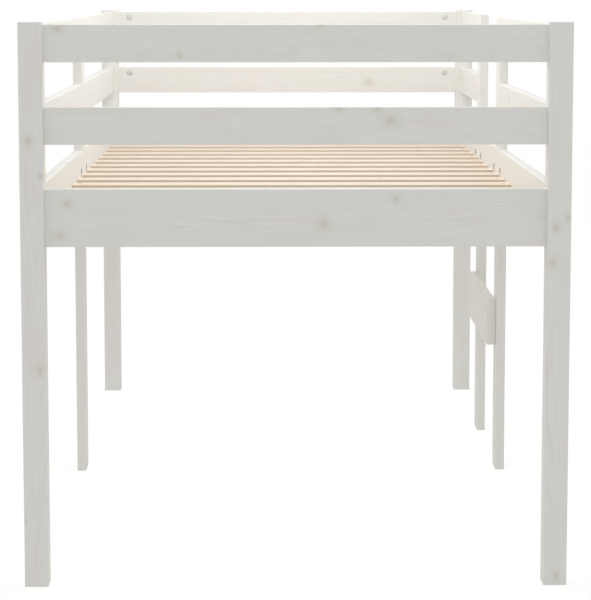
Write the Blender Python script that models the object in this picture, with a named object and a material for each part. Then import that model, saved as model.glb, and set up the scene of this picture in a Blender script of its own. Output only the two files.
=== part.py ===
"""Mid-height loft bed in solid pine: guard rails all round, and a ladder made of two uprights and a step.

Metres, +Z up. The origin is on the floor, under the middle of the bed. +Y runs along the bed to the
head end, and the ladder is on the +X side.
"""
import math

import bmesh
import bpy
from mathutils import Matrix, Vector

# The mattress that the frame is built around
MATTRESS_WIDTH = 1.000
MATTRESS_LENGTH = 2.000

# Timber sections
POST_SIZE = 0.046
BOARD_THICKNESS = 0.021
RAIL_HEIGHT = 0.072
SIDE_BOARD_HEIGHT = 0.112
UPRIGHT_WIDTH = 0.072
EDGE_ROUND = 0.0015
SAWN_CHAMFER = 0.001
GAP = 0.0003

# Heights above the floor
UNDER_BED_HEIGHT = 0.672
LOWER_RAIL_GAP = 0.087
UPPER_RAIL_GAP = 0.087
POST_ABOVE_RAIL = 0.005

# Slatted base
SLAT_COUNT = 15
SLAT_WIDTH = 0.066
SLAT_THICKNESS = 0.018
SLAT_DEPTH_IN_BOARDS = 0.0585
SLAT_END_CLEARANCE = 0.0006
FOOT_SLAT_MARGIN = 0.054
HEAD_SLAT_MARGIN = 0.092
LEDGER_HEIGHT = 0.030
LEDGER_WIDTH = 0.028
LEDGER_END_CLEARANCE = 0.004

# Ladder
LADDER_CENTRE_OFFSET = 0.000
LADDER_ENTRY_WIDTH = 0.386
STEP_TOP_HEIGHT = 0.417
STEP_HEIGHT = 0.112
STEP_FOOT_LAP = 0.048

# Bolts and barrel nuts that hold the end rails to the posts
BOLT_DIAMETER = 0.006
BOLT_HEAD_DIAMETER = 0.016
BOLT_HEAD_THICKNESS = 0.0025
BOLT_HEAD_RECESS = 0.003
BOLT_PAST_NUT = 0.002
SOCKET_ACROSS_FLATS = 0.004
SOCKET_DEPTH = 0.0018
NUT_DIAMETER = 0.014
NUT_SINK = 0.0004
WOOD_BEHIND_NUT = 0.003
NUT_FROM_POST = 0.033
NUT_BELOW_RAIL_TOP = 0.0155
NUT_SLOT_WIDTH = 0.0016
NUT_SLOT_DEPTH = 0.0012
HOLE_CLEARANCE = 0.0005
ROUND_SIDES = 16

# Worked out from the sizes above. Boards stand in the middle of the posts' thickness.
BOARD_INSET = (POST_SIZE - BOARD_THICKNESS) / 2
HALF_WIDTH = MATTRESS_WIDTH / 2 + BOARD_THICKNESS + BOARD_INSET
HALF_LENGTH = MATTRESS_LENGTH / 2 + BOARD_THICKNESS + BOARD_INSET
POST_INNER_X = HALF_WIDTH - POST_SIZE
POST_INNER_Y = HALF_LENGTH - POST_SIZE
BOARD_X = HALF_WIDTH - BOARD_INSET - BOARD_THICKNESS / 2
BOARD_Y = HALF_LENGTH - BOARD_INSET - BOARD_THICKNESS / 2

SIDE_BOARD_TOP = UNDER_BED_HEIGHT + SIDE_BOARD_HEIGHT
MIDDLE_RAIL_BOTTOM = SIDE_BOARD_TOP + LOWER_RAIL_GAP
MIDDLE_RAIL_TOP = MIDDLE_RAIL_BOTTOM + RAIL_HEIGHT
TOP_RAIL_BOTTOM = MIDDLE_RAIL_TOP + UPPER_RAIL_GAP
TOP_RAIL_TOP = TOP_RAIL_BOTTOM + RAIL_HEIGHT
POST_HEIGHT = TOP_RAIL_TOP + POST_ABOVE_RAIL

SLAT_TOP = SIDE_BOARD_TOP - SLAT_DEPTH_IN_BOARDS
SLAT_BOTTOM = SLAT_TOP - SLAT_THICKNESS
FIRST_SLAT_Y = -MATTRESS_LENGTH / 2 + FOOT_SLAT_MARGIN + SLAT_WIDTH / 2
LAST_SLAT_Y = MATTRESS_LENGTH / 2 - HEAD_SLAT_MARGIN - SLAT_WIDTH / 2
SLAT_PITCH = (LAST_SLAT_Y - FIRST_SLAT_Y) / (SLAT_COUNT - 1)
LEDGER_TOP = SLAT_BOTTOM - GAP

FOOT_UPRIGHT_Y = LADDER_CENTRE_OFFSET
HEAD_UPRIGHT_Y = FOOT_UPRIGHT_Y + UPRIGHT_WIDTH + LADDER_ENTRY_WIDTH

NUT_HOLE_DEPTH = BOARD_THICKNESS - WOOD_BEHIND_NUT
NUT_LENGTH = NUT_HOLE_DEPTH - NUT_SINK - HOLE_CLEARANCE

LEVELS = {
    "board": (UNDER_BED_HEIGHT, SIDE_BOARD_TOP),
    "middle_rail": (MIDDLE_RAIL_BOTTOM, MIDDLE_RAIL_TOP),
    "top_rail": (TOP_RAIL_BOTTOM, TOP_RAIL_TOP),
}


def clear_scene():
    for obj in list(bpy.data.objects):
        bpy.data.objects.remove(obj, do_unlink=True)


def make_material(name, colour, roughness, metallic=0.0):
    material = bpy.data.materials.new(name)
    material.use_nodes = True
    shader = material.node_tree.nodes["Principled BSDF"]
    shader.inputs["Base Color"].default_value = (*colour, 1.0)
    shader.inputs["Roughness"].default_value = roughness
    shader.inputs["Metallic"].default_value = metallic
    return material


def add_object(name, mesh, material, location=(0.0, 0.0, 0.0)):
    obj = bpy.data.objects.new(name, mesh)
    obj.location = location
    bpy.context.scene.collection.objects.link(obj)
    mesh.materials.append(material)
    return obj


def timber(name, low, high, material, edge_size=EDGE_ROUND, edge_steps=2):
    """A planed board between two corners: its edges are rounded, or with one step chamfered."""
    low, high = Vector(low), Vector(high)
    mesh = bpy.data.meshes.new(name)
    shape = bmesh.new()
    bmesh.ops.create_cube(shape, size=1.0, matrix=Matrix.Diagonal((*(high - low), 1.0)))
    shape.to_mesh(mesh)
    shape.free()
    obj = add_object(name, mesh, material, (low + high) / 2)
    rounding = obj.modifiers.new("rounded edges", "BEVEL")
    rounding.width = edge_size
    rounding.segments = edge_steps
    return obj


def turned(name, profile, axis, start, material):
    """A turned piece: profile is (distance along axis, radius) from one flat end to the other."""
    mesh = bpy.data.meshes.new(name)
    shape = bmesh.new()
    rings = []
    for along, radius in profile:
        angles = [math.tau * i / ROUND_SIDES for i in range(ROUND_SIDES)]
        ring = [shape.verts.new((radius * math.cos(a), radius * math.sin(a), along)) for a in angles]
        rings.append(ring)
    shape.faces.new(list(reversed(rings[0])))
    shape.faces.new(rings[-1])
    for near, far in zip(rings, rings[1:]):
        for i in range(ROUND_SIDES):
            j = (i + 1) % ROUND_SIDES
            shape.faces.new((near[i], near[j], far[j], far[i]))
    turn = Vector((0.0, 0.0, 1.0)).rotation_difference(Vector(axis)).to_matrix().to_4x4()
    bmesh.ops.transform(shape, matrix=turn, verts=shape.verts)
    bmesh.ops.recalc_face_normals(shape, faces=shape.faces)
    shape.to_mesh(mesh)
    shape.free()
    mesh.shade_smooth()
    mesh.set_sharp_from_angle(angle=math.radians(40))
    return add_object(name, mesh, material, start)


def as_cutter(obj):
    obj.hide_render = True
    obj.display_type = "WIRE"
    return obj


def round_cutter(name, axis, start, length, diameter, sides=ROUND_SIDES):
    """A drill: a plain cylinder from start along axis."""
    mesh = bpy.data.meshes.new(name)
    shape = bmesh.new()
    bmesh.ops.create_cone(shape, cap_ends=True, segments=sides, radius1=diameter / 2,
                          radius2=diameter / 2, depth=length)
    turn = Vector((0.0, 0.0, 1.0)).rotation_difference(Vector(axis)).to_matrix().to_4x4()
    bmesh.ops.transform(shape, matrix=turn, verts=shape.verts)
    shape.to_mesh(mesh)
    shape.free()
    middle = Vector(start) + Vector(axis) * length / 2
    return as_cutter(add_object(name, mesh, materials["steel"], middle))


def cut(obj, cutter):
    hole = obj.modifiers.new("cut by " + cutter.name, "BOOLEAN")
    hole.operation = "DIFFERENCE"
    hole.solver = "EXACT"
    hole.object = cutter


def build_posts():
    """Four square posts, one at each corner, from the floor to just above the top rails."""
    for end, y_side in (("foot", -1), ("head", 1)):
        for side, x_side in (("left", -1), ("right", 1)):
            xs = sorted((x_side * POST_INNER_X, x_side * HALF_WIDTH))
            ys = sorted((y_side * POST_INNER_Y, y_side * HALF_LENGTH))
            timber(f"{end}_{side}_post", (xs[0], ys[0], 0.0), (xs[1], ys[1], POST_HEIGHT),
                   materials["pine_glazed"])


def build_uprights():
    """Flat uprights in line with the side rails: one on the left, and the ladder's two on the right."""
    places = (("left_centre_upright", -1, FOOT_UPRIGHT_Y),
              ("ladder_foot_upright", 1, FOOT_UPRIGHT_Y),
              ("ladder_head_upright", 1, HEAD_UPRIGHT_Y))
    for name, x_side, y in places:
        x = x_side * BOARD_X
        timber(name,
               (x - BOARD_THICKNESS / 2, y - UPRIGHT_WIDTH / 2, 0.0),
               (x + BOARD_THICKNESS / 2, y + UPRIGHT_WIDTH / 2, TOP_RAIL_TOP),
               materials["pine_glazed"])


def build_end_rails():
    """Each end has a deep board and two rails, cut to fit between its two posts."""
    for end, y_side in (("foot", -1), ("head", 1)):
        y = y_side * BOARD_Y
        reach = POST_INNER_X - GAP
        for level, (bottom, top) in LEVELS.items():
            timber(f"{end}_end_{level}",
                   (-reach, y - BOARD_THICKNESS / 2, bottom),
                   (reach, y + BOARD_THICKNESS / 2, top),
                   materials["pine_glazed"])


def side_piece(name, x_side, start_y, end_y, level):
    """A side board or rail that fits with a hairline joint between two places along the bed."""
    bottom, top = LEVELS[level]
    x = x_side * BOARD_X
    timber(name,
           (x - BOARD_THICKNESS / 2, start_y + GAP, bottom),
           (x + BOARD_THICKNESS / 2, end_y - GAP, top),
           materials["pine_glazed"])


def build_side_rails():
    """The uprights divide the sides. Only the board crosses the ladder's opening."""
    half_upright = UPRIGHT_WIDTH / 2
    foot_bay = (-POST_INNER_Y, FOOT_UPRIGHT_Y - half_upright)
    left_head_bay = (FOOT_UPRIGHT_Y + half_upright, POST_INNER_Y)
    entry_bay = (FOOT_UPRIGHT_Y + half_upright, HEAD_UPRIGHT_Y - half_upright)
    right_head_bay = (HEAD_UPRIGHT_Y + half_upright, POST_INNER_Y)
    for level in LEVELS:
        side_piece(f"left_foot_{level}", -1, *foot_bay, level)
        side_piece(f"left_head_{level}", -1, *left_head_bay, level)
        side_piece(f"right_foot_{level}", 1, *foot_bay, level)
        side_piece(f"right_head_{level}", 1, *right_head_bay, level)
    side_piece("right_entry_board", 1, *entry_bay, "board")


def build_step():
    """The ladder's step, on the uprights' inner faces, flush with the far edge of the head upright."""
    inner_face = BOARD_X - BOARD_THICKNESS / 2 - GAP
    start_y = FOOT_UPRIGHT_Y + UPRIGHT_WIDTH / 2 - STEP_FOOT_LAP
    end_y = HEAD_UPRIGHT_Y + UPRIGHT_WIDTH / 2
    timber("ladder_step",
           (inner_face - BOARD_THICKNESS, start_y, STEP_TOP_HEIGHT - STEP_HEIGHT),
           (inner_face, end_y, STEP_TOP_HEIGHT),
           materials["pine_glazed"])


def build_slatted_base():
    """Loose slats lie across two ledgers, which run between the posts inside the side boards."""
    half_inside = MATTRESS_WIDTH / 2
    reach = POST_INNER_Y - LEDGER_END_CLEARANCE
    for side, x_side in (("left", -1), ("right", 1)):
        xs = sorted((x_side * (half_inside - GAP), x_side * (half_inside - GAP - LEDGER_WIDTH)))
        timber(f"{side}_slat_ledger",
               (xs[0], -reach, LEDGER_TOP - LEDGER_HEIGHT),
               (xs[1], reach, LEDGER_TOP),
               materials["pine_natural"], SAWN_CHAMFER, edge_steps=1)
    slat_reach = half_inside - SLAT_END_CLEARANCE
    for i in range(SLAT_COUNT):
        y = FIRST_SLAT_Y + i * SLAT_PITCH
        timber(f"slat_{i + 1:02d}",
               (-slat_reach, y - SLAT_WIDTH / 2, SLAT_BOTTOM),
               (slat_reach, y + SLAT_WIDTH / 2, SLAT_TOP),
               materials["pine_natural"], SAWN_CHAMFER, edge_steps=1)


def build_bolt(name, head_face, inward, nut_x):
    """A flat-headed bolt with a hexagon socket. It runs through the post and the barrel nut."""
    axis = (inward, 0.0, 0.0)
    length = abs(head_face.x - nut_x) + NUT_DIAMETER / 2 + BOLT_PAST_NUT
    head, shank = BOLT_HEAD_DIAMETER / 2, BOLT_DIAMETER / 2
    chamfer = 0.0006
    bolt = turned(name,
                  [(0.0, head - chamfer), (chamfer, head), (BOLT_HEAD_THICKNESS, head),
                   (BOLT_HEAD_THICKNESS, shank), (length - chamfer, shank), (length, shank - chamfer)],
                  axis, head_face, materials["steel"])
    across_corners = SOCKET_ACROSS_FLATS / math.cos(math.radians(30))
    above = 0.001
    socket = round_cutter(f"{name}_socket_cutter", axis, head_face - Vector(axis) * above,
                          SOCKET_DEPTH + above, across_corners, sides=6)
    cut(bolt, socket)


def build_barrel_nut(name, face, inward_y, bolt_hole):
    """A barrel nut lies across the rail. Its slotted end is sunk below the rail's inner face."""
    start = face + Vector((0.0, inward_y * NUT_SINK, 0.0))
    chamfer = 0.0005
    radius = NUT_DIAMETER / 2
    nut = turned(name,
                 [(0.0, radius - chamfer), (chamfer, radius),
                  (NUT_LENGTH - chamfer, radius), (NUT_LENGTH, radius - chamfer)],
                 (0.0, inward_y, 0.0), start, materials["steel"])
    cut(nut, bolt_hole)
    slot_middle = start + Vector((0.0, -inward_y * NUT_SLOT_DEPTH, 0.0))
    half = Vector((NUT_DIAMETER, 2 * NUT_SLOT_DEPTH, NUT_SLOT_WIDTH / 2))
    slot = timber(f"{name}_slot_cutter", slot_middle - half, slot_middle + half, materials["steel"])
    slot.modifiers.clear()
    cut(nut, as_cutter(slot))


def build_end_rail_joints():
    """Each end rail is pulled against each post by one bolt and one barrel nut."""
    for end, y_side in (("foot", -1), ("head", 1)):
        for side, x_side in (("left", -1), ("right", 1)):
            for level in ("middle_rail", "top_rail"):
                name = f"{end}_{side}_{level}"
                post = bpy.data.objects[f"{end}_{side}_post"]
                rail = bpy.data.objects[f"{end}_end_{level}"]
                z = LEVELS[level][1] - NUT_BELOW_RAIL_TOP
                y = y_side * BOARD_Y
                nut_x = x_side * (POST_INNER_X - NUT_FROM_POST)
                inward = -x_side

                recess_floor = Vector((x_side * (HALF_WIDTH - BOLT_HEAD_RECESS), y, z))
                head_face = recess_floor - Vector((inward * (BOLT_HEAD_THICKNESS + GAP), 0.0, 0.0))
                reach = abs(recess_floor.x - nut_x) + NUT_DIAMETER / 2 + BOLT_PAST_NUT + GAP
                shank_hole = round_cutter(f"{name}_bolt_hole", (inward, 0.0, 0.0), recess_floor, reach,
                                          BOLT_DIAMETER + 2 * HOLE_CLEARANCE)
                outside = Vector((x_side * (HALF_WIDTH + BOLT_HEAD_RECESS), y, z))
                head_hole = round_cutter(f"{name}_head_hole", (inward, 0.0, 0.0), outside,
                                         2 * BOLT_HEAD_RECESS, BOLT_HEAD_DIAMETER + 2 * HOLE_CLEARANCE)
                inner_face = Vector((nut_x, y_side * MATTRESS_LENGTH / 2, z))
                nut_hole = round_cutter(f"{name}_nut_hole", (0.0, y_side, 0.0),
                                        inner_face - Vector((0.0, y_side * NUT_HOLE_DEPTH, 0.0)),
                                        2 * NUT_HOLE_DEPTH, NUT_DIAMETER + 2 * HOLE_CLEARANCE)
                cut(post, shank_hole)
                cut(post, head_hole)
                cut(rail, shank_hole)
                cut(rail, nut_hole)
                build_bolt(f"{name}_bolt", head_face, inward, nut_x)
                build_barrel_nut(f"{name}_barrel_nut", inner_face, y_side, shank_hole)


clear_scene()
materials = {
    "pine_glazed": make_material("white glazed pine", (0.80, 0.78, 0.72), 0.45),
    "pine_natural": make_material("natural pine", (0.78, 0.62, 0.42), 0.55),
    "steel": make_material("zinc-plated steel", (0.62, 0.62, 0.64), 0.35, metallic=1.0),
}
build_posts()
build_uprights()
build_end_rails()
build_side_rails()
build_step()
build_slatted_base()
build_end_rail_joints()
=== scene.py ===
# Loft bed in white glazed pine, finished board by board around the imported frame.
import math
import random

import bpy
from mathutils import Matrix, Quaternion, Vector


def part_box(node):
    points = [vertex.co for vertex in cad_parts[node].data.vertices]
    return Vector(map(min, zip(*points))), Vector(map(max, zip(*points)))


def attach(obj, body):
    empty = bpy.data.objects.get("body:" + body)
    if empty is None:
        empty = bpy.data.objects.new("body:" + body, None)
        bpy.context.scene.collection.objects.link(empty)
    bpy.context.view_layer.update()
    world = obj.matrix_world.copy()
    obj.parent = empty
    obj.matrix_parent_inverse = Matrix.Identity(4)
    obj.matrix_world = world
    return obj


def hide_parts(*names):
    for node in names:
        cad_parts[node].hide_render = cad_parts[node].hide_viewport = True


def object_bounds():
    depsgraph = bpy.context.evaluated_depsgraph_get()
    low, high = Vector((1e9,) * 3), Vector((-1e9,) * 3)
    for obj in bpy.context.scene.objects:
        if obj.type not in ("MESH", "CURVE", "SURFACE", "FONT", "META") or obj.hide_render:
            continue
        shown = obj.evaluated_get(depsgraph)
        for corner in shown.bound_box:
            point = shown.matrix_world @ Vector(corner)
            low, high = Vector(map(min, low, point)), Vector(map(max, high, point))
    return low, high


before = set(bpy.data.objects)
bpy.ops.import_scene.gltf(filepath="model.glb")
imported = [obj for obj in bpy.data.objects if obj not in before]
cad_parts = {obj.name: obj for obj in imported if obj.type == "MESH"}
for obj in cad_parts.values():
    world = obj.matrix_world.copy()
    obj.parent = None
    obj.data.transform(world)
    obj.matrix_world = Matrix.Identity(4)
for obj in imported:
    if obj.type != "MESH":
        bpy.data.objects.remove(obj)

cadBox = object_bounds()
low, high = Vector(cadBox[0]), Vector(cadBox[1])
xAxis, yAxis, zAxis = Vector((1, 0, 0)), Vector((0, 1, 0)), Vector((0, 0, 1))


def deselectAll():
    if bpy.context.object and bpy.context.object.mode != "OBJECT":
        bpy.ops.object.mode_set(mode="OBJECT")
    bpy.ops.object.select_all(action="DESELECT")


def useOnly(piece):
    deselectAll()
    piece.select_set(True)
    bpy.context.view_layer.objects.active = piece


def nodeBox(name):
    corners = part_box(name)
    return Vector(corners[0]), Vector(corners[1])


def nodeMiddle(name):
    lowest, highest = nodeBox(name)
    return (lowest + highest) / 2


def linearColour(hexCode):
    # sRGB hex to the linear values that shaders take
    parts = [int(hexCode[i:i + 2], 16) / 255 for i in (1, 3, 5)]
    return [c / 12.92 if c <= 0.04045 else ((c + 0.055) / 1.055) ** 2.4 for c in parts] + [1.0]


def addNode(tree, kind, settings=None, links=None):
    node = tree.nodes.new(kind)
    for name, value in (settings or {}).items():
        setattr(node, name, value)
    for socket, value in (links or {}).items():
        if isinstance(value, bpy.types.NodeSocket):
            tree.links.new(value, node.inputs[socket])
        else:
            node.inputs[socket].default_value = value
    return node


# Camera, floor and light
cameraSetup = {
    "fromFootEnd": 4.034,  # metres in front of the foot end
    "sideways": -0.051,
    "height": 1.175,
    "tiltDown": 6.08,  # degrees
    "turnRight": 0.708,
    "lens": 125.9,
    "shiftUp": -0.15,
    "seesTo": 200,
}


def placeCamera(setup):
    bpy.ops.object.camera_add(
        location=((low.x + high.x) / 2 + setup["sideways"], low.y - setup["fromFootEnd"],
                  setup["height"]),
        rotation=(math.radians(90 - setup["tiltDown"]), 0, -math.radians(setup["turnRight"])))
    camera = bpy.context.object
    camera.data.lens = setup["lens"]
    camera.data.shift_y = setup["shiftUp"]
    camera.data.clip_end = setup["seesTo"]
    bpy.context.scene.camera = camera


stageSetup = {
    "floorSize": 80,
    "floorDrop": 0.0002,
    "floor": "#D8D8D7",
    "floorRoughness": 0.9,
    "floorShine": 0.1,
    "floorGlow": (0.16, 0.53),  # what it gives the bed, and what is seen of it
    "overheadSize": (0.95, 2.2),  # a soft box close above the mattress space
    "overheadPlace": (0, 0.05, 1.80),
    "overheadWatts": 13,
    "skyTop": 0.40,
    "skyMiddle": 0.64,
    "skyHorizon": 1.12,
    "skySides": 0.50,  # added high up to the left and right, as two soft boxes would
    "lowerBand": (0.10, 0.45),  # the sky's heights, as the sine of the angle above the floor
    "upperBand": (0.45, 0.95),
    "sidesBand": (0.22, 0.42),
    "sidesReach": (0.40, 0.85),
}


def buildStage(setup):
    deselectAll()
    bpy.ops.mesh.primitive_plane_add(size=setup["floorSize"],
                                     location=(0, 0, low.z - setup["floorDrop"]))
    floor = bpy.context.object
    floor.name = "studio_floor"
    bpy.ops.object.transform_apply(location=True, rotation=True, scale=True)
    paint = bpy.data.materials.new("white matt studio paper")
    paint.use_nodes = True
    shader = paint.node_tree.nodes["Principled BSDF"]
    shader.inputs["Base Color"].default_value = linearColour(setup["floor"])
    shader.inputs["Roughness"].default_value = setup["floorRoughness"]
    shader.inputs["Specular IOR Level"].default_value = setup["floorShine"]
    shader.inputs["Emission Color"].default_value = linearColour("#FFFFFF")
    seen = addNode(paint.node_tree, "ShaderNodeLightPath").outputs["Is Camera Ray"]
    glow = addNode(paint.node_tree, "ShaderNodeMix", {"data_type": "FLOAT"},
                   {0: seen, 2: setup["floorGlow"][0], 3: setup["floorGlow"][1]})
    paint.node_tree.links.new(glow.outputs[0], shader.inputs["Emission Strength"])
    floor.data.materials.append(paint)

    bpy.ops.object.light_add(type="AREA", location=setup["overheadPlace"])
    lamp = bpy.context.object
    lamp.data.shape = "RECTANGLE"
    lamp.data.size, lamp.data.size_y = setup["overheadSize"]
    lamp.data.energy = setup["overheadWatts"]
    lamp.visible_camera = False

    world = bpy.data.worlds.new("soft white studio")
    bpy.context.scene.world = world
    world.use_nodes = True
    tree = world.node_tree
    tree.nodes.clear()
    direction = addNode(tree, "ShaderNodeTexCoord").outputs["Generated"]
    split = addNode(tree, "ShaderNodeSeparateXYZ", links={0: direction})
    lower = addNode(tree, "ShaderNodeMapRange", {"interpolation_type": "SMOOTHSTEP"},
                    {"Value": split.outputs["Z"], "From Min": setup["lowerBand"][0],
                     "From Max": setup["lowerBand"][1],
                     "To Min": setup["skyHorizon"], "To Max": setup["skyMiddle"]})
    upness = addNode(tree, "ShaderNodeMapRange", {"interpolation_type": "SMOOTHSTEP"},
                     {"Value": split.outputs["Z"], "From Min": setup["upperBand"][0],
                      "From Max": setup["upperBand"][1]})
    evenSky = addNode(tree, "ShaderNodeMix", {"data_type": "FLOAT"},
                      {0: upness.outputs[0], 2: lower.outputs[0], 3: setup["skyTop"]})
    sideways = addNode(tree, "ShaderNodeMath", {"operation": "ABSOLUTE"}, {0: split.outputs["X"]})
    toSides = addNode(tree, "ShaderNodeMapRange", {"interpolation_type": "SMOOTHSTEP"},
                      {"Value": sideways.outputs[0], "From Min": setup["sidesReach"][0],
                       "From Max": setup["sidesReach"][1], "To Max": setup["skySides"]})
    highUp = addNode(tree, "ShaderNodeMapRange", {"interpolation_type": "SMOOTHSTEP"},
                     {"Value": split.outputs["Z"], "From Min": setup["sidesBand"][0],
                      "From Max": setup["sidesBand"][1]})
    strength = addNode(tree, "ShaderNodeMath", {"operation": "MULTIPLY_ADD"},
                       {0: toSides.outputs[0], 1: highUp.outputs[0], 2: evenSky.outputs[0]})
    seen = addNode(tree, "ShaderNodeLightPath").outputs["Is Camera Ray"]
    shown = addNode(tree, "ShaderNodeMix", {"data_type": "FLOAT"},
                    {0: seen, 2: strength.outputs[0], 3: 1.0})
    back = addNode(tree, "ShaderNodeBackground",
                   links={"Color": linearColour("#FFFFFF"), "Strength": shown.outputs[0]})
    addNode(tree, "ShaderNodeOutputWorld", links={"Surface": back.outputs[0]})
    bpy.context.scene.view_settings.view_transform = "Standard"


placeCamera(cameraSetup)
buildStage(stageSetup)
print("camera, floor and light are set")


# Materials. First the knot: a round dark core, a rim, and the pull that bends the rings round it
knotShape = {
    "lengthways": 0.8,  # under 1, so that knots are a little longer along the board
    "coreFade": (0.40, 1.25),  # in knot radii from its middle
    "rimFade": (0.9, 3.2),
    "pullFade": -0.16,
}


def buildKnotGroup(shape):
    group = bpy.data.node_groups.new("pine knot", "ShaderNodeTree")
    for name in ("Spot", "Knot", "Wobble"):
        kind = "NodeSocketFloat" if name == "Wobble" else "NodeSocketVector"
        group.interface.new_socket(name, in_out="INPUT", socket_type=kind)
    for name in ("Core", "Rim", "Pull"):
        group.interface.new_socket(name, in_out="OUTPUT", socket_type="NodeSocketFloat")
    given = addNode(group, "NodeGroupInput")
    result = addNode(group, "NodeGroupOutput")
    radius = addNode(group, "ShaderNodeSeparateXYZ", links={0: given.outputs["Knot"]}).outputs["Z"]
    away = addNode(group, "ShaderNodeVectorMath", {"operation": "SUBTRACT"},
                   {0: given.outputs["Spot"], 1: given.outputs["Knot"]})
    flat = addNode(group, "ShaderNodeVectorMath", {"operation": "MULTIPLY"},
                   {0: away.outputs[0], 1: (shape["lengthways"], 1.0, 0.0)})
    distance = addNode(group, "ShaderNodeVectorMath", {"operation": "LENGTH"}, {0: flat.outputs[0]})
    inRadii = addNode(group, "ShaderNodeMath", {"operation": "DIVIDE"},
                      {0: distance.outputs["Value"], 1: radius})
    wobbly = addNode(group, "ShaderNodeMath", {"operation": "ADD"},
                     {0: inRadii.outputs[0], 1: given.outputs["Wobble"]})
    core = addNode(group, "ShaderNodeMapRange", {"interpolation_type": "SMOOTHSTEP"},
                   {"Value": wobbly.outputs[0], "From Min": shape["coreFade"][0],
                    "From Max": shape["coreFade"][1], "To Min": 1.0, "To Max": 0.0})
    rim = addNode(group, "ShaderNodeMapRange", {"interpolation_type": "SMOOTHSTEP"},
                  {"Value": wobbly.outputs[0], "From Min": shape["rimFade"][0],
                   "From Max": shape["rimFade"][1], "To Min": 1.0, "To Max": 0.0})
    square = addNode(group, "ShaderNodeMath", {"operation": "MULTIPLY"},
                     {0: inRadii.outputs[0], 1: inRadii.outputs[0]})
    falling = addNode(group, "ShaderNodeMath", {"operation": "MULTIPLY"},
                      {0: square.outputs[0], 1: shape["pullFade"]})
    bell = addNode(group, "ShaderNodeMath", {"operation": "EXPONENT"}, {0: falling.outputs[0]})
    pull = addNode(group, "ShaderNodeMath", {"operation": "MULTIPLY"}, {0: bell.outputs[0], 1: radius})
    group.links.new(core.outputs[0], result.inputs["Core"])
    group.links.new(rim.outputs[0], result.inputs["Rim"])
    group.links.new(pull.outputs[0], result.inputs["Pull"])
    return group


knotGroup = buildKnotGroup(knotShape)
knotNames = ("knotA", "knotB", "knotC", "knotD")

# Nordic pine, planed and sanded, under two thin coats of white glaze. The glaze hides most of the
# colour: the eye gets an even satin off-white, faint rings, and knots that show through as grey-brown.
whiteGlaze = {
    "name": "pine under white glaze",
    "early": "#E9E9E5",
    "late": "#DFDCD5",
    "core": "#B9B3A6",
    "rim": "#DCDACE",
    "warm": "#E9DED7",
    "cool": "#E1E3D6",
    "arris": "#E6E1D4",
    # painted light: lighter than the glaze, to lift the sawn ends out of the shade that falls on them, the
    # step's end most of all
    "sawnWithPaintedLight": "#EEECE6",
    "coreStrength": 0.27,
    "rimStrength": 0.55,
    "ringSpacing": 3.1,  # mm between growth rings
    "ringStrength": 0.50,
    "fibreStrength": 0.16,
    "tintStrength": 0.30,
    "roughness": (0.40, 0.54),
    "coat": 0.12,
    "bump": 0.05,  # mm that late wood stands proud of early wood
}

# The same pine left bare for the slats: pale straw with tan late wood and honey-brown knots, duller.
barePine = {
    "name": "bare planed pine",
    "early": "#E9DACA",
    "late": "#D6BC9C",
    "core": "#9C7650",
    "rim": "#D2B795",
    "warm": "#E7D2BA",
    "cool": "#E5DAC7",
    "arris": "#E9DAC8",
    # darker: real end grain on the ends, and painted shade on the slats' long edges, which stand in shade
    # between the slats
    "sawnWithPaintedLight": "#D0C3B1",
    "coreStrength": 0.80,
    "rimStrength": 0.50,
    "ringSpacing": 2.8,
    "ringStrength": 0.60,
    "fibreStrength": 0.20,
    "tintStrength": 0.35,
    "roughness": (0.52, 0.66),
    "coat": 0.0,
    "bump": 0.08,
}

# How the grain runs, the same in both. A stretch is how many swings the pattern makes in a metre, along
# the trunk and then twice across it.
grain = {
    "wanderStretch": (2.2, 11, 11),
    "wander": (0.0, 0.034, 0.034),  # metres for the noise's whole range, which it seldom uses
    "knotWobble": 160.0,  # swings in a metre
    "knotWobbleSize": 0.45,  # of a knot's radius
    "unevenYears": 1.6,  # years between the earliest and the latest that a ring may come
    "unevenScale": 0.35,
    "lateWood": ((0.45, 0.10), (0.78, 0.62), (0.90, 1.0)),  # place in the year, darkness
    "patchStretch": (3.0, 24, 24),
    "patchRange": (0.3, 0.7),
    "palestPatch": 0.15,
    "fineStretch": (45, 2400, 2400),  # fibres drawn 0.4 mm wide, as the real ones are too fine to show
    "broadStretch": (7, 330, 330),  # and bundles of them 3 mm wide
    "fibreRange": (0.75, 1.35),
    "cloudStretch": (5.5, 30, 30),
    "warmFrom": (0.52, 0.72),
    "coolFrom": (0.48, 0.28),
    # how far the sawn colour, with its painted light and painted shade, covers the masked faces
    "sawnWithPaintedLightCover": 0.8,
    "coatRoughness": 0.35,
    "fineRelief": 0.5,
    "relief": 0.6,
}


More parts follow.
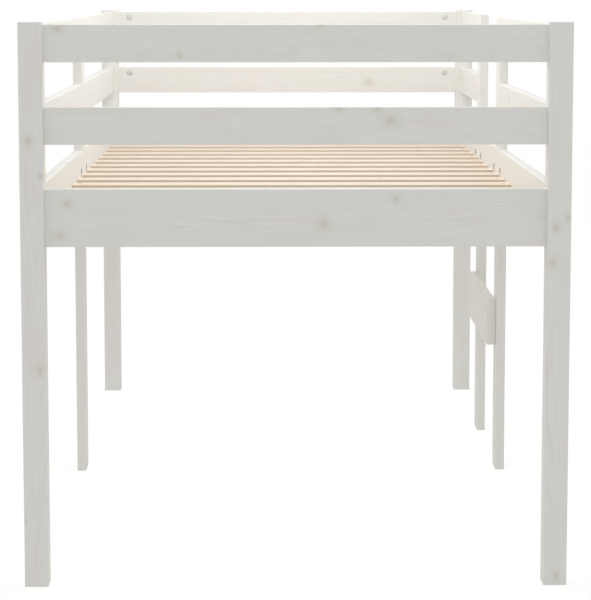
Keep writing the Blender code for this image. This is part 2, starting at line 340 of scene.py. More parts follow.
def buildPine(look):
    material = bpy.data.materials.new(look["name"])
    material.use_nodes = True
    tree = material.node_tree
    shader = tree.nodes["Principled BSDF"]
    boardSpot = addNode(tree, "ShaderNodeAttribute", {"attribute_name": "boardSpot"}).outputs["Vector"]
    logSpot = addNode(tree, "ShaderNodeAttribute", {"attribute_name": "logSpot"}).outputs["Vector"]
    arris = addNode(tree, "ShaderNodeAttribute", {"attribute_name": "arris"}).outputs["Fac"]
    sawnFaceWithPaintedLight = addNode(tree, "ShaderNodeAttribute", {"attribute_name": "sawnFaceWithPaintedLight"}).outputs["Fac"]
    tone = addNode(tree, "ShaderNodeAttribute", {"attribute_name": "tone"}).outputs["Fac"]

    # slow wander of the rings along the trunk, about 12 mm at most
    slow = addNode(tree, "ShaderNodeVectorMath", {"operation": "MULTIPLY"},
                   {0: logSpot, 1: grain["wanderStretch"]})
    wander = addNode(tree, "ShaderNodeTexNoise",
                     links={"Vector": slow.outputs[0], "Scale": 1.0, "Detail": 2.0})
    centred = addNode(tree, "ShaderNodeVectorMath", {"operation": "SUBTRACT"},
                      {0: wander.outputs["Color"], 1: (0.5, 0.5, 0.5)})
    wandered = addNode(tree, "ShaderNodeVectorMath", {"operation": "MULTIPLY_ADD"},
                       {0: centred.outputs[0], 1: grain["wander"], 2: logSpot})
    acrossLog = addNode(tree, "ShaderNodeVectorMath", {"operation": "MULTIPLY"},
                        {0: wandered.outputs[0], 1: (0.0, 1.0, 1.0)})
    fromPith = addNode(tree, "ShaderNodeVectorMath", {"operation": "LENGTH"}, {0: acrossLog.outputs[0]})

    # knots
    wobble = addNode(tree, "ShaderNodeTexNoise",
                     links={"Vector": boardSpot, "Scale": grain["knotWobble"], "Detail": 2.0})
    wobbleSize = addNode(tree, "ShaderNodeMapRange",
                         links={"Value": wobble.outputs["Fac"], "To Min": -grain["knotWobbleSize"],
                                "To Max": grain["knotWobbleSize"]})
    core, rim, ringPlace = None, None, fromPith.outputs["Value"]
    for name in knotNames:
        spot = addNode(tree, "ShaderNodeAttribute", {"attribute_name": name}).outputs["Vector"]
        knot = addNode(tree, "ShaderNodeGroup", {"node_tree": knotGroup},
                       {"Spot": boardSpot, "Knot": spot, "Wobble": wobbleSize.outputs[0]})
        ringPlace = addNode(tree, "ShaderNodeMath", {"operation": "ADD"},
                            {0: ringPlace, 1: knot.outputs["Pull"]}).outputs[0]
        if core is None:
            core, rim = knot.outputs["Core"], knot.outputs["Rim"]
        else:
            core = addNode(tree, "ShaderNodeMath", {"operation": "MAXIMUM"},
                           {0: core, 1: knot.outputs["Core"]}).outputs[0]
            rim = addNode(tree, "ShaderNodeMath", {"operation": "MAXIMUM"},
                          {0: rim, 1: knot.outputs["Rim"]}).outputs[0]

    # growth rings: slow darkening into late wood, then a sharp step back to early wood
    ringNumber = addNode(tree, "ShaderNodeMath", {"operation": "MULTIPLY"},
                         {0: ringPlace, 1: 1000 / look["ringSpacing"]})
    unevenYears = addNode(tree, "ShaderNodeTexNoise", {"noise_dimensions": "1D"},
                          {"W": ringNumber.outputs[0], "Scale": grain["unevenScale"], "Detail": 1.0})
    ringsMoved = addNode(tree, "ShaderNodeMath", {"operation": "MULTIPLY_ADD"},
                         {0: unevenYears.outputs["Fac"], 1: grain["unevenYears"],
                          2: ringNumber.outputs[0]})
    phase = addNode(tree, "ShaderNodeMath", {"operation": "FRACT"}, {0: ringsMoved.outputs[0]})
    profile = addNode(tree, "ShaderNodeFloatCurve", links={"Value": phase.outputs[0]})
    curve = profile.mapping.curves[0]
    curve.points[0].location = (0.0, 0.0)
    curve.points[1].location = (1.0, 0.0)
    for place in grain["lateWood"]:
        curve.points.new(*place)
    profile.mapping.update()
    patchy = addNode(tree, "ShaderNodeVectorMath", {"operation": "MULTIPLY"},
                     {0: logSpot, 1: grain["patchStretch"]})
    patches = addNode(tree, "ShaderNodeTexNoise",
                      links={"Vector": patchy.outputs[0], "Scale": 1.0, "Detail": 1.0})
    patchStrength = addNode(tree, "ShaderNodeMapRange",
                            links={"Value": patches.outputs["Fac"], "From Min": grain["patchRange"][0],
                                   "From Max": grain["patchRange"][1],
                                   "To Min": grain["palestPatch"] * look["ringStrength"],
                                   "To Max": look["ringStrength"]})
    ringMix = addNode(tree, "ShaderNodeMath", {"operation": "MULTIPLY"},
                      {0: profile.outputs[0], 1: patchStrength.outputs[0]})

    # fibres, fine and in bundles
    fine = addNode(tree, "ShaderNodeVectorMath", {"operation": "MULTIPLY"},
                   {0: logSpot, 1: grain["fineStretch"]})
    fineFibre = addNode(tree, "ShaderNodeTexNoise",
                        links={"Vector": fine.outputs[0], "Scale": 1.0, "Detail": 3.0})
    broad = addNode(tree, "ShaderNodeVectorMath", {"operation": "MULTIPLY"},
                    {0: logSpot, 1: grain["broadStretch"]})
    broadFibre = addNode(tree, "ShaderNodeTexNoise",
                         links={"Vector": broad.outputs[0], "Scale": 1.0, "Detail": 3.0})
    fibreSum = addNode(tree, "ShaderNodeMath", {"operation": "ADD"},
                       {0: fineFibre.outputs["Fac"], 1: broadFibre.outputs["Fac"]})
    fibres = addNode(tree, "ShaderNodeMapRange",
                     links={"Value": fibreSum.outputs[0], "From Min": grain["fibreRange"][0],
                            "From Max": grain["fibreRange"][1],
                            "To Min": 0.0, "To Max": look["fibreStrength"]})
    lateAmount = addNode(tree, "ShaderNodeMath", {"operation": "ADD", "use_clamp": True},
                         {0: ringMix.outputs[0], 1: fibres.outputs[0]})
    wood = addNode(tree, "ShaderNodeMix", {"data_type": "RGBA"},
                   {0: lateAmount.outputs[0], 6: linearColour(look["early"]),
                    7: linearColour(look["late"])})

    # cloudy warm and cool tints, where resin and glaze lie thicker or thinner
    clouds = addNode(tree, "ShaderNodeVectorMath", {"operation": "MULTIPLY"},
                     {0: logSpot, 1: grain["cloudStretch"]})
    cloud = addNode(tree, "ShaderNodeTexNoise",
                    links={"Vector": clouds.outputs[0], "Scale": 1.0, "Detail": 2.0})
    cloudTone = addNode(tree, "ShaderNodeMath", {"operation": "ADD"}, {0: cloud.outputs["Fac"], 1: tone})
    warmPart = addNode(tree, "ShaderNodeMapRange",
                       links={"Value": cloudTone.outputs[0], "From Min": grain["warmFrom"][0],
                              "From Max": grain["warmFrom"][1],
                              "To Min": 0.0, "To Max": look["tintStrength"]})
    coolPart = addNode(tree, "ShaderNodeMapRange",
                       links={"Value": cloudTone.outputs[0], "From Min": grain["coolFrom"][0],
                              "From Max": grain["coolFrom"][1],
                              "To Min": 0.0, "To Max": look["tintStrength"]})
    warmed = addNode(tree, "ShaderNodeMix", {"data_type": "RGBA"},
                     {0: warmPart.outputs[0], 6: wood.outputs[2], 7: linearColour(look["warm"])})
    cooled = addNode(tree, "ShaderNodeMix", {"data_type": "RGBA"},
                     {0: coolPart.outputs[0], 6: warmed.outputs[2], 7: linearColour(look["cool"])})

    # knots on top: a soft rim first, then the darker core
    rimAmount = addNode(tree, "ShaderNodeMath", {"operation": "MULTIPLY"},
                        {0: rim, 1: look["rimStrength"]})
    rimmed = addNode(tree, "ShaderNodeMix", {"data_type": "RGBA"},
                     {0: rimAmount.outputs[0], 6: cooled.outputs[2], 7: linearColour(look["rim"])})
    coreAmount = addNode(tree, "ShaderNodeMath", {"operation": "MULTIPLY"},
                         {0: core, 1: look["coreStrength"]})
    knotted = addNode(tree, "ShaderNodeMix", {"data_type": "RGBA"},
                      {0: coreAmount.outputs[0], 6: rimmed.outputs[2], 7: linearColour(look["core"])})

    # the finish is rubbed thin on the arrises. Sawn faces get a colour of their own: darker end grain on
    # the bare pine, a lighter colour on the glazed ends that is painted light, and painted shade on the
    # slats' long edges
    rubbed = addNode(tree, "ShaderNodeMath", {"operation": "MULTIPLY"},
                     {0: arris, 1: broadFibre.outputs["Fac"]})
    worn = addNode(tree, "ShaderNodeMix", {"data_type": "RGBA"},
                   {0: rubbed.outputs[0], 6: knotted.outputs[2], 7: linearColour(look["arris"])})
    sawnWithPaintedLightAmount = addNode(tree, "ShaderNodeMath", {"operation": "MULTIPLY"},
                         {0: sawnFaceWithPaintedLight, 1: grain["sawnWithPaintedLightCover"]})
    sawnWithPaintedLight = addNode(tree, "ShaderNodeMix", {"data_type": "RGBA"},
                   {0: sawnWithPaintedLightAmount.outputs[0], 6: worn.outputs[2], 7: linearColour(look["sawnWithPaintedLight"])})
    tree.links.new(sawnWithPaintedLight.outputs[2], shader.inputs["Base Color"])

    rough = addNode(tree, "ShaderNodeMapRange",
                    links={"Value": fibreSum.outputs[0], "From Min": grain["fibreRange"][0],
                           "From Max": grain["fibreRange"][1],
                           "To Min": look["roughness"][0], "To Max": look["roughness"][1]})
    tree.links.new(rough.outputs[0], shader.inputs["Roughness"])
    shader.inputs["IOR"].default_value = 1.5
    shader.inputs["Coat Weight"].default_value = look["coat"]
    shader.inputs["Coat Roughness"].default_value = grain["coatRoughness"]

    height = addNode(tree, "ShaderNodeMath", {"operation": "MULTIPLY_ADD"},
                     {0: fineFibre.outputs["Fac"], 1: grain["fineRelief"], 2: ringMix.outputs[0]})
    bump = addNode(tree, "ShaderNodeBump",
                   links={"Strength": grain["relief"], "Distance": look["bump"] / 1000,
                          "Height": height.outputs[0]})
    tree.links.new(bump.outputs[0], shader.inputs["Normal"])
    return material


# Drilled wood inside the fixing holes: unglazed and torn by the drill, so dull, dark and fuzzy
drilledPine = {
    "name": "drilled raw pine",
    "dark": "#8A7E6C",
    "light": "#B5A993",
    "fuzz": 1400.0,  # torn fibres 0.7 mm apart
    "fuzzHeight": 0.0002,
    "relief": 0.8,
    "roughness": 0.85,
}


def buildDrilledWood(look):
    material = bpy.data.materials.new(look["name"])
    material.use_nodes = True
    tree = material.node_tree
    shader = tree.nodes["Principled BSDF"]
    spot = addNode(tree, "ShaderNodeTexCoord").outputs["Object"]
    fuzz = addNode(tree, "ShaderNodeTexNoise",
                   links={"Vector": spot, "Scale": look["fuzz"], "Detail": 3.0})
    colour = addNode(tree, "ShaderNodeMix", {"data_type": "RGBA"},
                     {0: fuzz.outputs["Fac"], 6: linearColour(look["dark"]),
                      7: linearColour(look["light"])})
    tree.links.new(colour.outputs[2], shader.inputs["Base Color"])
    shader.inputs["Roughness"].default_value = look["roughness"]
    bump = addNode(tree, "ShaderNodeBump",
                   links={"Strength": look["relief"], "Distance": look["fuzzHeight"],
                          "Height": fuzz.outputs["Fac"]})
    tree.links.new(bump.outputs[0], shader.inputs["Normal"])
    return material


# Bright zinc plate on turned steel: a cool grey metal with a faint straw bloom and fine turning marks
zincPlate = {
    "name": "zinc-plated steel",
    "bright": "#DADBDB",
    "bloom": "#E2DFD4",
    "bloomScale": 220.0,  # patches 4 to 5 mm across
    "marks": 1800.0,  # tool marks 0.6 mm apart, coarser than real ones so that they show
    "markDepth": 0.00003,
    "relief": 0.35,
    "roughness": (0.36, 0.56),
}


def buildZinc(look):
    material = bpy.data.materials.new(look["name"])
    material.use_nodes = True
    tree = material.node_tree
    shader = tree.nodes["Principled BSDF"]
    spot = addNode(tree, "ShaderNodeTexCoord").outputs["Object"]
    bloom = addNode(tree, "ShaderNodeTexNoise",
                    links={"Vector": spot, "Scale": look["bloomScale"], "Detail": 2.0})
    colour = addNode(tree, "ShaderNodeMix", {"data_type": "RGBA"},
                     {0: bloom.outputs["Fac"], 6: linearColour(look["bright"]),
                      7: linearColour(look["bloom"])})
    tree.links.new(colour.outputs[2], shader.inputs["Base Color"])
    shader.inputs["Metallic"].default_value = 1.0
    marks = addNode(tree, "ShaderNodeTexNoise",
                    links={"Vector": spot, "Scale": look["marks"], "Detail": 2.0})
    rough = addNode(tree, "ShaderNodeMapRange",
                    links={"Value": marks.outputs["Fac"], "To Min": look["roughness"][0],
                           "To Max": look["roughness"][1]})
    tree.links.new(rough.outputs[0], shader.inputs["Roughness"])
    bump = addNode(tree, "ShaderNodeBump",
                   links={"Strength": look["relief"], "Distance": look["markDepth"],
                          "Height": marks.outputs["Fac"]})
    tree.links.new(bump.outputs[0], shader.inputs["Normal"])
    return material


glazedPine = buildPine(whiteGlaze)
slatPine = buildPine(barePine)
drilledWood = buildDrilledWood(drilledPine)
zinc = buildZinc(zincPlate)
print("materials are mixed")


# Fixings, each modelled once on the Z axis, with the end that shows facing up
boltSize = {
    "headDiameter": 0.016,
    "headThickness": 0.0025,
    "shank": 0.006,
    "socket": 0.004,
    "socketDepth": 0.0018,
    "edge": 0.0004,
    "length": 0.0878,
}
nutSize = {
    "diameter": 0.014,
    "length": 0.0171,
    "slotWidth": 0.0016,
    "slotDepth": 0.0014,
    "bore": 0.0066,
    "edge": 0.0005,
    "sink": 0.0004,
    "fromJoint": 0.033,
    "boltBelowFace": 0.0105,  # the bolt runs through the middle of the board
}
sideNutSize = {**nutSize, "length": 0.0125, "sink": 0.005}
screwSize = {
    "head": 0.0076,
    "neck": 0.0040,
    "headDepth": 0.0028,
    "crossWidth": 0.0012,
    "crossLength": 0.0044,
    "crossDepth": 0.0014,
    "sink": 0.0004,
    "clearance": 0.0004,
    "holeDepth": 0.0035,
    "brokenEdge": 0.0002,
}


def softenEdges(piece, width, segments=2, angle=40):
    useOnly(piece)
    rounding = piece.modifiers.new("rounding", "BEVEL")
    rounding.width = width
    rounding.segments = segments
    rounding.limit_method = "ANGLE"
    rounding.angle_limit = math.radians(angle)
    bpy.ops.object.modifier_apply(modifier=rounding.name)


def takeAway(piece, cutter):
    useOnly(piece)
    hole = piece.modifiers.new("hole", "BOOLEAN")
    hole.operation = "DIFFERENCE"
    hole.solver = "EXACT"
    hole.object = cutter
    bpy.ops.object.modifier_apply(modifier=hole.name)
    bpy.data.objects.remove(cutter, do_unlink=True)


def selectFaces(piece, chosen):
    bpy.ops.object.mode_set(mode="EDIT")
    bpy.ops.mesh.select_mode(type="FACE")
    bpy.ops.mesh.select_all(action="DESELECT")
    bpy.ops.object.mode_set(mode="OBJECT")
    for face in piece.data.polygons:
        face.select = chosen(face)
    bpy.ops.object.mode_set(mode="EDIT")


def addDisc(name, radius, thickness, top, sides=40):
    deselectAll()
    bpy.ops.mesh.primitive_cylinder_add(vertices=sides, radius=radius, depth=thickness,
                                        location=(0, 0, top - thickness / 2))
    disc = bpy.context.object
    disc.name = name
    bpy.ops.object.transform_apply(location=True, rotation=True, scale=True)
    return disc


def addBar(size, turn=0):
    deselectAll()
    bpy.ops.mesh.primitive_cube_add(size=1, location=(0, 0, 0), rotation=(0, 0, turn))
    bar = bpy.context.object
    bar.scale = size
    bpy.ops.object.transform_apply(location=True, rotation=True, scale=True)
    return bar


def finishMetal(piece, smoothUpTo=35):
    useOnly(piece)
    bpy.ops.object.shade_smooth_by_angle(angle=math.radians(smoothUpTo))
    piece.data.materials.clear()
    piece.data.materials.append(zinc)
    return piece


def modelBolt(size):
    bolt = addDisc("bolt_master", size["headDiameter"] / 2, size["headThickness"], 0)
    selectFaces(bolt, lambda face: face.normal.z < -0.9)
    bpy.ops.mesh.inset(thickness=(size["headDiameter"] - size["shank"]) / 2)
    bpy.ops.mesh.extrude_region_move(
        TRANSFORM_OT_translate={"value": (0, 0, -(size["length"] - size["headThickness"]))})
    bpy.ops.object.mode_set(mode="OBJECT")
    softenEdges(bolt, size["edge"])
    acrossCorners = size["socket"] / math.cos(math.radians(30))
    socket = addDisc("socket", acrossCorners / 2, 2 * size["socketDepth"], size["socketDepth"], sides=6)
    takeAway(bolt, socket)
    return finishMetal(bolt)


def modelNut(size):
    nut = addDisc("nut_master", size["diameter"] / 2, size["length"], 0)
    softenEdges(nut, size["edge"])
    slot = addBar((2 * size["diameter"], size["slotWidth"], 2 * size["slotDepth"]))
    takeAway(nut, slot)
    deselectAll()
    boreDepth = size["boltBelowFace"] - size["sink"]
    bpy.ops.mesh.primitive_cylinder_add(vertices=32, radius=size["bore"] / 2, depth=2 * size["diameter"],
                                        location=(0, 0, -boreDepth), rotation=(0, math.radians(90), 0))
    takeAway(nut, bpy.context.object)
    return finishMetal(nut)


def modelScrew(size):
    deselectAll()
    bpy.ops.mesh.primitive_cone_add(vertices=24, radius1=size["neck"] / 2, radius2=size["head"] / 2,
                                    depth=size["headDepth"], location=(0, 0, -size["headDepth"] / 2))
    screw = bpy.context.object
    screw.name = "screw_master"
    bpy.ops.object.transform_apply(location=True, rotation=True, scale=True)
    for turn in (0, math.radians(90)):
        takeAway(screw, addBar((size["crossLength"], size["crossWidth"], 2 * size["crossDepth"]), turn))
    return finishMetal(screw)


def copyPiece(master, name, place, facing, spin=0):
    # facing is where the master's Z axis points, and spin turns it about that axis
    piece = master.copy()
    piece.data = master.data.copy()
    piece.name = name
    bpy.context.scene.collection.objects.link(piece)
    piece.rotation_mode = "QUATERNION"
    piece.rotation_quaternion = zAxis.rotation_difference(facing) @ Quaternion(zAxis, spin)
    piece.location = place
    useOnly(piece)
    bpy.ops.object.transform_apply(location=True, rotation=True, scale=True)
    return piece


boltMaster = modelBolt(boltSize)
nutMaster = modelNut(nutSize)
sideNutMaster = modelNut(sideNutSize)
screwMaster = modelScrew(screwSize)
print("fixings are modelled")


# Where the fixings go, all worked out from the frame
jointPlan = {
    "boardNutInset": 0.0155,  # from the end board's top and bottom edges
    "nutHole": 0.0145,
    "nutHoleDepth": 0.018,
    "headHole": 0.017,
    "headHoleDepth": 0.003,
    "headSink": 0.0002,
    "sideNutBelowTop": 0.049,
    "sideNutHole": 0.018,
    "brokenEdge": 0.0004,
    "spin": (0, 6),  # radians, as each fixing happened to stop
}
drillings = {}  # node: list of (mouth, way in, diameter, depth, width of the broken edge)


def planHole(node, mouth, wayIn, diameter, depth, brokenEdge=jointPlan["brokenEdge"]):
    drillings.setdefault(node, []).append((Vector(mouth), Vector(wayIn), diameter, depth, brokenEdge))


def addFixing(piece, nodes=()):
    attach(piece, "root")
    if nodes:
        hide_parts(*nodes)


def fitBoltAndNut(end, side, level, height, name, nodes):
    xSide = 1 if side == "right" else -1
    ySide = 1 if end == "head" else -1
    post, rail = f"{end}_{side}_post", f"{end}_end_{level}"
    postLow, postHigh = nodeBox(post)
    railLow, railHigh = nodeBox(rail)
    middleY = (railLow.y + railHigh.y) / 2
    outerX = postHigh.x if xSide > 0 else postLow.x
    innerPostX = postLow.x if xSide > 0 else postHigh.x
    nutX = innerPostX - xSide * nutSize["fromJoint"]
    innerY = railLow.y if ySide > 0 else railHigh.y
    outward, inward = xSide * xAxis, -ySide * yAxis

    planHole(post, (outerX, middleY, height), -outward, jointPlan["headHole"], jointPlan["headHoleDepth"])
    planHole(rail, (nutX, innerY, height), -inward, jointPlan["nutHole"], jointPlan["nutHoleDepth"])
    bolt = copyPiece(boltMaster, f"{name}_bolt_turned",
                     (outerX - xSide * jointPlan["headSink"], middleY, height), outward,
                     dice.uniform(*jointPlan["spin"]))
    nut = copyPiece(nutMaster, f"{name}_nut_turned",
                    Vector((nutX, innerY, height)) - nutSize["sink"] * inward, inward)
    addFixing(bolt, nodes[:1])
    addFixing(nut, nodes[1:])


dice = random.Random(7)
for end in ("foot", "head"):
    for side in ("left", "right"):
        for level in ("middle_rail", "top_rail"):
            stem = f"{end}_{side}_{level}"
            height = nodeMiddle(f"{stem}_barrel_nut").z
            fitBoltAndNut(end, side, level, height, stem, (f"{stem}_bolt", f"{stem}_barrel_nut"))
        boardLow, boardHigh = nodeBox(f"{end}_end_board")
        for row, height in (("lower", boardLow.z + jointPlan["boardNutInset"]),
                            ("upper", boardHigh.z - jointPlan["boardNutInset"])):
            fitBoltAndNut(end, side, "board", height, f"{end}_{side}_board_{row}", ())

# Barrel nuts in the side boards, on both sides of each upright
for upright, before, after in (("left_centre_upright", "left_foot_board", "left_head_board"),
                               ("ladder_foot_upright", "right_foot_board", "right_entry_board"),
                               ("ladder_head_upright", "right_entry_board", "right_head_board")):
    uprightLow, uprightHigh = nodeBox(upright)
    for board, jointY, way in ((before, uprightLow.y, -1), (after, uprightHigh.y, 1)):
        boardLow, boardHigh = nodeBox(board)
        onRight = boardLow.x > 0
        innerX = boardLow.x if onRight else boardHigh.x
        intoBed = -xAxis if onRight else xAxis
        mouth = Vector((innerX, jointY + way * sideNutSize["fromJoint"],
                        boardHigh.z - jointPlan["sideNutBelowTop"]))
        planHole(board, mouth, -intoBed, jointPlan["sideNutHole"], jointPlan["nutHoleDepth"])
        sideNut = copyPiece(sideNutMaster, f"{upright}_{'foot' if way < 0 else 'head'}_side_nut",
                            mouth - sideNutSize["sink"] * intoBed, intoBed, math.radians(90))
        addFixing(sideNut)


def driveScrews(name, node, places, outward):
    screws = []
    for i, place in enumerate(places):
        planHole(node, place, -outward, screwSize["head"] + screwSize["clearance"],
                 screwSize["holeDepth"], screwSize["brokenEdge"])
        screws.append(copyPiece(screwMaster, f"{name}_{i + 1}", Vector(place) - screwSize["sink"] * outward,
                                outward, dice.uniform(*jointPlan["spin"])))
    deselectAll()
    for screw in screws:
        screw.select_set(True)
    bpy.context.view_layer.objects.active = screws[0]
    bpy.ops.object.join()
    screws[0].name = name
    addFixing(screws[0])


screwPlan = {
    "ledgerScrews": 8,
    "stepScrewsFromEdge": 0.028,
}
slatNodes = sorted(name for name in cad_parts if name.startswith("slat_"))
ledgerNodes = ("left_slat_ledger", "right_slat_ledger")
for slat in slatNodes:
    slatLow, slatHigh = nodeBox(slat)
    heads = [(nodeMiddle(ledger).x, (slatLow.y + slatHigh.y) / 2, slatHigh.z) for ledger in ledgerNodes]
    driveScrews(f"{slat}_screws", slat, heads, zAxis)

for ledger in ledgerNodes:
    ledgerLow, ledgerHigh = nodeBox(ledger)
    onRight = ledgerLow.x > 0
    faceX = ledgerLow.x if onRight else ledgerHigh.x
    spacing = (ledgerHigh.y - ledgerLow.y) / screwPlan["ledgerScrews"]
    heads = [(faceX, ledgerLow.y + spacing * (i + 0.5), nodeMiddle(ledger).z)
             for i in range(screwPlan["ledgerScrews"])]
    driveScrews(f"{ledger}_screws", ledger, heads, -xAxis if onRight else xAxis)

stepLow, stepHigh = nodeBox("ladder_step")
edgeGap = screwPlan["stepScrewsFromEdge"]
heads = []
for upright in ("ladder_foot_upright", "ladder_head_upright"):
    uprightLow, uprightHigh = nodeBox(upright)
    lapMiddle = (max(stepLow.y, uprightLow.y) + min(stepHigh.y, uprightHigh.y)) / 2
    for height in (stepLow.z + edgeGap, stepHigh.z - edgeGap):
        heads.append((stepLow.x, lapMiddle, height))
driveScrews("ladder_step_screws", "ladder_step", heads, -xAxis)
for master in (boltMaster, nutMaster, sideNutMaster, screwMaster):
    bpy.data.objects.remove(master, do_unlink=True)
print("fixings are placed")


# Timber, cut to the frame's boxes
timberSetup = {
    "glazedEdge": 0.0009,
    "bareEdge": 0.0008,
    "edgeSteps": 4,
    "jointReach": 0.00025,  # closes most of the 0.3 mm that the frame leaves at each joint
    "slatReach": 0.0005,
    "jointEdge": 0.0002,
    "freeEndEdge": 0.0006,
    "pithDepth": (0.030, 0.085),  # how far the heart of the log lies from the board's middle
    "pithAside": 0.030,
    "lean": 0.022,  # how much the board's axis leans from the log's, as a slope
    "toneRange": 0.07,
    "knotsPerMetre": (1.0, 0.5),  # in glazed boards and in bare ones
    "knotLuck": (0.2, 1.8),
    "smallKnots": 0.5,  # the share of them that are small
    "smallRadius": (0.0020, 0.0035),
    "largeRadius": (0.0050, 0.0080),
    "knotReach": (0.48, 0.5),  # how far from the middle they may lie, as a share of length and of width
    "arrisWidth": 0.0035,
    "edgeBand": 0.0032,
    "outerShare": 0.3,  # of the size: a point nearer the middle than this lies inside a hole
}
touching = 0.0001  # nearer than this, two places count as one
noKnot = (99.0, 99.0, 0.001)  # too far off to show

# Knots with a fixed place: along the board, across it and radius, in metres from the board's middle
chosenKnots = {
    "foot_end_top_rail": [(-0.458, 0.029, 0.0060), (-0.225, -0.024, 0.0035), (0.048, 0.035, 0.0035)],
    "foot_end_middle_rail": [(0.083, 0.035, 0.0055), (0.157, 0.034, 0.0060), (0.181, 0.010, 0.0085)],
    "foot_end_board": [(-0.444, 0.028, 0.0060), (-0.458, -0.035, 0.0065), (0.054, -0.012, 0.0075),
                       (0.194, 0.037, 0.0050)],
    "foot_left_post": [(0.325, -0.006, 0.0065), (0.258, 0.018, 0.0035), (-0.122, 0.012, 0.0065),
                       (-0.422, -0.020, 0.0022)],
    "foot_right_post": [(0.157, -0.006, 0.0060), (0.088, -0.012, 0.0060), (-0.534, 0.002, 0.0055),
                        (0.176, 0.017, 0.0040)],
    "head_end_middle_rail": [(0.235, -0.008, 0.0080)],
}


def boardAxes(size):
    # which of X, Y, Z runs along the grain, across the face and through the thickness
    along = max(range(3), key=lambda a: size[a])
    others = [a for a in range(3) if a != along]
    if abs(size[others[0]] - size[others[1]]) < 10 * touching:  # a square post
        return along, others[0], others[1]
    across = max(others, key=lambda a: size[a])
    return along, across, min(others, key=lambda a: size[a])


def selectEdges(piece, chosen):
    bpy.ops.object.mode_set(mode="EDIT")
    bpy.ops.mesh.select_mode(type="EDGE")
    bpy.ops.mesh.select_all(action="DESELECT")
    bpy.ops.object.mode_set(mode="OBJECT")
    points = piece.data.vertices
    for edge in piece.data.edges:
        edge.select = chosen(points[edge.vertices[0]].co, points[edge.vertices[1]].co)
    bpy.ops.object.mode_set(mode="EDIT")


def planeBoard(name, lowest, highest, edge, steps, sawnEdge):
    # planed to size, long edges eased, then the ends sawn square with only a hair taken off their edges
    along = boardAxes(highest - lowest)[0]
    deselectAll()
    bpy.ops.mesh.primitive_cube_add(size=1, location=(lowest + highest) / 2)
    board = bpy.context.object
    board.name = name
    board.scale = highest - lowest
    bpy.ops.object.transform_apply(location=True, rotation=True, scale=True)
    selectEdges(board, lambda a, b: abs(a[along] - b[along]) > touching)
    bpy.ops.mesh.bevel(offset=edge, offset_type="OFFSET", segments=steps, affect="EDGES")
    bpy.ops.object.mode_set(mode="OBJECT")
    selectEdges(board, lambda a, b: abs(a[along] - b[along]) < touching
                and min(abs(a[along] - lowest[along]), abs(a[along] - highest[along])) < touching)
    bpy.ops.mesh.bevel(offset=sawnEdge, offset_type="OFFSET", segments=2, affect="EDGES")
    bpy.ops.object.mode_set(mode="OBJECT")
    return board


drillShape = {
    "sides": 36,
    "overcut": 1.05,
    "proud": 0.002,  # how far the drill stands out of the wood
}


def drillHole(board, mouth, wayIn, diameter, depth, brokenEdge):
    # a drill on the Z axis, its top ring widened so that it breaks the hole's sharp edge
    drill = addDisc("drill", diameter / 2, depth, 0, sides=drillShape["sides"])
    selectFaces(drill, lambda face: face.normal.z > 0.9)
    spread = (1 + 2 * brokenEdge / diameter) * drillShape["overcut"]
    bpy.ops.mesh.extrude_region_move(TRANSFORM_OT_translate={"value": (0, 0, 2 * brokenEdge)})
    bpy.ops.transform.resize(value=(spread, spread, 1))
    bpy.ops.mesh.extrude_region_move(TRANSFORM_OT_translate={"value": (0, 0, drillShape["proud"])})
    bpy.ops.object.mode_set(mode="OBJECT")
    drill.rotation_mode = "QUATERNION"
    drill.rotation_quaternion = zAxis.rotation_difference(-wayIn)
    drill.location = mouth + wayIn * brokenEdge
    useOnly(drill)
    bpy.ops.object.transform_apply(location=True, rotation=True, scale=True)
    takeAway(board, drill)


def evenNormals(board):
    useOnly(board)
    bpy.ops.object.shade_smooth()
    weighted = board.modifiers.new("even normals", "WEIGHTED_NORMAL")
    weighted.weight = 80
    bpy.ops.object.modifier_apply(modifier=weighted.name)


def growKnots(node, length, width, rng):
    knots = list(chosenKnots.get(node, ()))
    if not knots:
        perMetre = timberSetup["knotsPerMetre"][node in bareNodes]
        reachAlong, reachAcross = timberSetup["knotReach"]
        count = round(length * perMetre * rng.uniform(*timberSetup["knotLuck"]))
        for _ in range(min(len(knotNames), count)):
            small = rng.random() < timberSetup["smallKnots"]
            radius = rng.uniform(*timberSetup["smallRadius" if small else "largeRadius"])
            knots.append((rng.uniform(-reachAlong, reachAlong) * length,
                          rng.uniform(-reachAcross, reachAcross) * width, radius))
    return (knots + [noKnot] * len(knotNames))[:len(knotNames)]


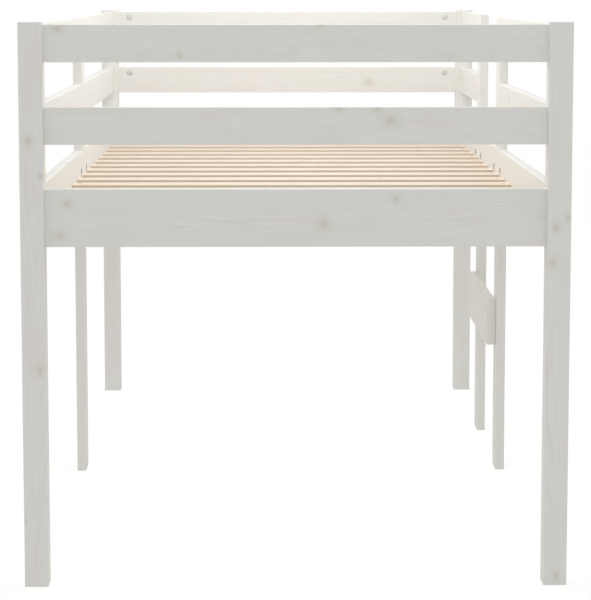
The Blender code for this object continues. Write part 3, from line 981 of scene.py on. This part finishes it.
def writeGrain(board, node, lowest, highest, rng):
    size, middle = highest - lowest, (lowest + highest) / 2
    along, across, through = boardAxes(size)
    aside = rng.uniform(-1, 1) * timberSetup["pithAside"]
    depth = rng.uniform(*timberSetup["pithDepth"]) * rng.choice((-1, 1))
    leanAside, leanDeep = (rng.uniform(-1, 1) * timberSetup["lean"] for _ in range(2))
    start = rng.uniform(0, 20)
    tone = rng.uniform(-1, 1) * timberSetup["toneRange"]
    mesh = board.data
    spots, logSpots, arrises = [], [], []
    for vertex in mesh.vertices:
        offset = vertex.co - middle
        s, t, u = offset[along], offset[across], offset[through]
        spots += (s, t, u)
        logSpots += (s + start, t - aside - leanAside * s, u - depth - leanDeep * s)
        faceGaps = [abs(abs(offset[a]) - size[a] / 2) for a in range(3)]
        nearFaces = sum(gap < timberSetup["arrisWidth"] for gap in faceGaps)
        outside = max(abs(offset[a]) / size[a] for a in range(3)) > timberSetup["outerShare"]
        arrises.append(1.0 if min(faceGaps) > touching / 2 and outside and nearFaces > 1 else 0.0)
    for name, values in (("boardSpot", spots), ("logSpot", logSpots)):
        layer = mesh.attributes.new(name, "FLOAT_VECTOR", "POINT")
        layer.data.foreach_set("vector", values)
    mesh.attributes.new("arris", "FLOAT", "POINT").data.foreach_set("value", arrises)
    tones = [tone] * len(mesh.vertices)
    mesh.attributes.new("tone", "FLOAT", "POINT").data.foreach_set("value", tones)
    for name, knot in zip(knotNames, growKnots(node, size[along], size[across], rng)):
        layer = mesh.attributes.new(name, "FLOAT_VECTOR", "POINT")
        layer.data.foreach_set("vector", list(knot) * len(mesh.vertices))
    # the mask takes the ends of every board (darker end grain on the bare ones, painted light on the glazed
    # ones) and the long edges of the bare ones, whose darker colour is painted shade between the slats
    sawnWithPaintedLight = []
    for face in mesh.polygons:
        isEnd, isSide = abs(face.normal[along]) > 0.9, abs(face.normal[across]) > 0.9
        sawnWithPaintedLight.append(1.0 if isEnd or isSide and node in bareNodes else 0.0)
    mesh.attributes.new("sawnFaceWithPaintedLight", "FLOAT", "FACE").data.foreach_set("value", sawnWithPaintedLight)
    for face in mesh.polygons:
        depths = [size[a] / 2 - abs(face.center[a] - middle[a]) for a in range(3)]
        inside = all(below > 0.8 * touching for below in depths)
        onEdge = sum(below < timberSetup["edgeBand"] for below in depths) > 1
        face.material_index = 1 if inside and not onEdge else 0


woodRng = random.Random(41)
bareNodes = set(slatNodes) | set(ledgerNodes)
timberNodes = sorted(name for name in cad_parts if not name.endswith(("_bolt", "_barrel_nut")))
for node in timberNodes:
    bare = node in bareNodes
    lowest, highest = nodeBox(node)
    joins = node.endswith(("_rail", "_board")) or node in slatNodes
    if joins:
        reach = Vector((0, 0, 0))
        reach[boardAxes(highest - lowest)[0]] = timberSetup["slatReach" if bare else "jointReach"]
        lowest, highest = lowest - reach, highest + reach
    board = planeBoard(node + "_planed", lowest, highest,
                       timberSetup["bareEdge" if bare else "glazedEdge"], timberSetup["edgeSteps"],
                       timberSetup["jointEdge" if joins else "freeEndEdge"])
    for hole in drillings.get(node, ()):
        drillHole(board, *hole)
    board.data.materials.clear()
    board.data.materials.append(slatPine if bare else glazedPine)
    board.data.materials.append(drilledWood)
    writeGrain(board, node, lowest, highest, woodRng)
    evenNormals(board)
    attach(board, "root")
    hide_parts(node)
print(len(timberNodes), "boards are planed, drilled and glazed")
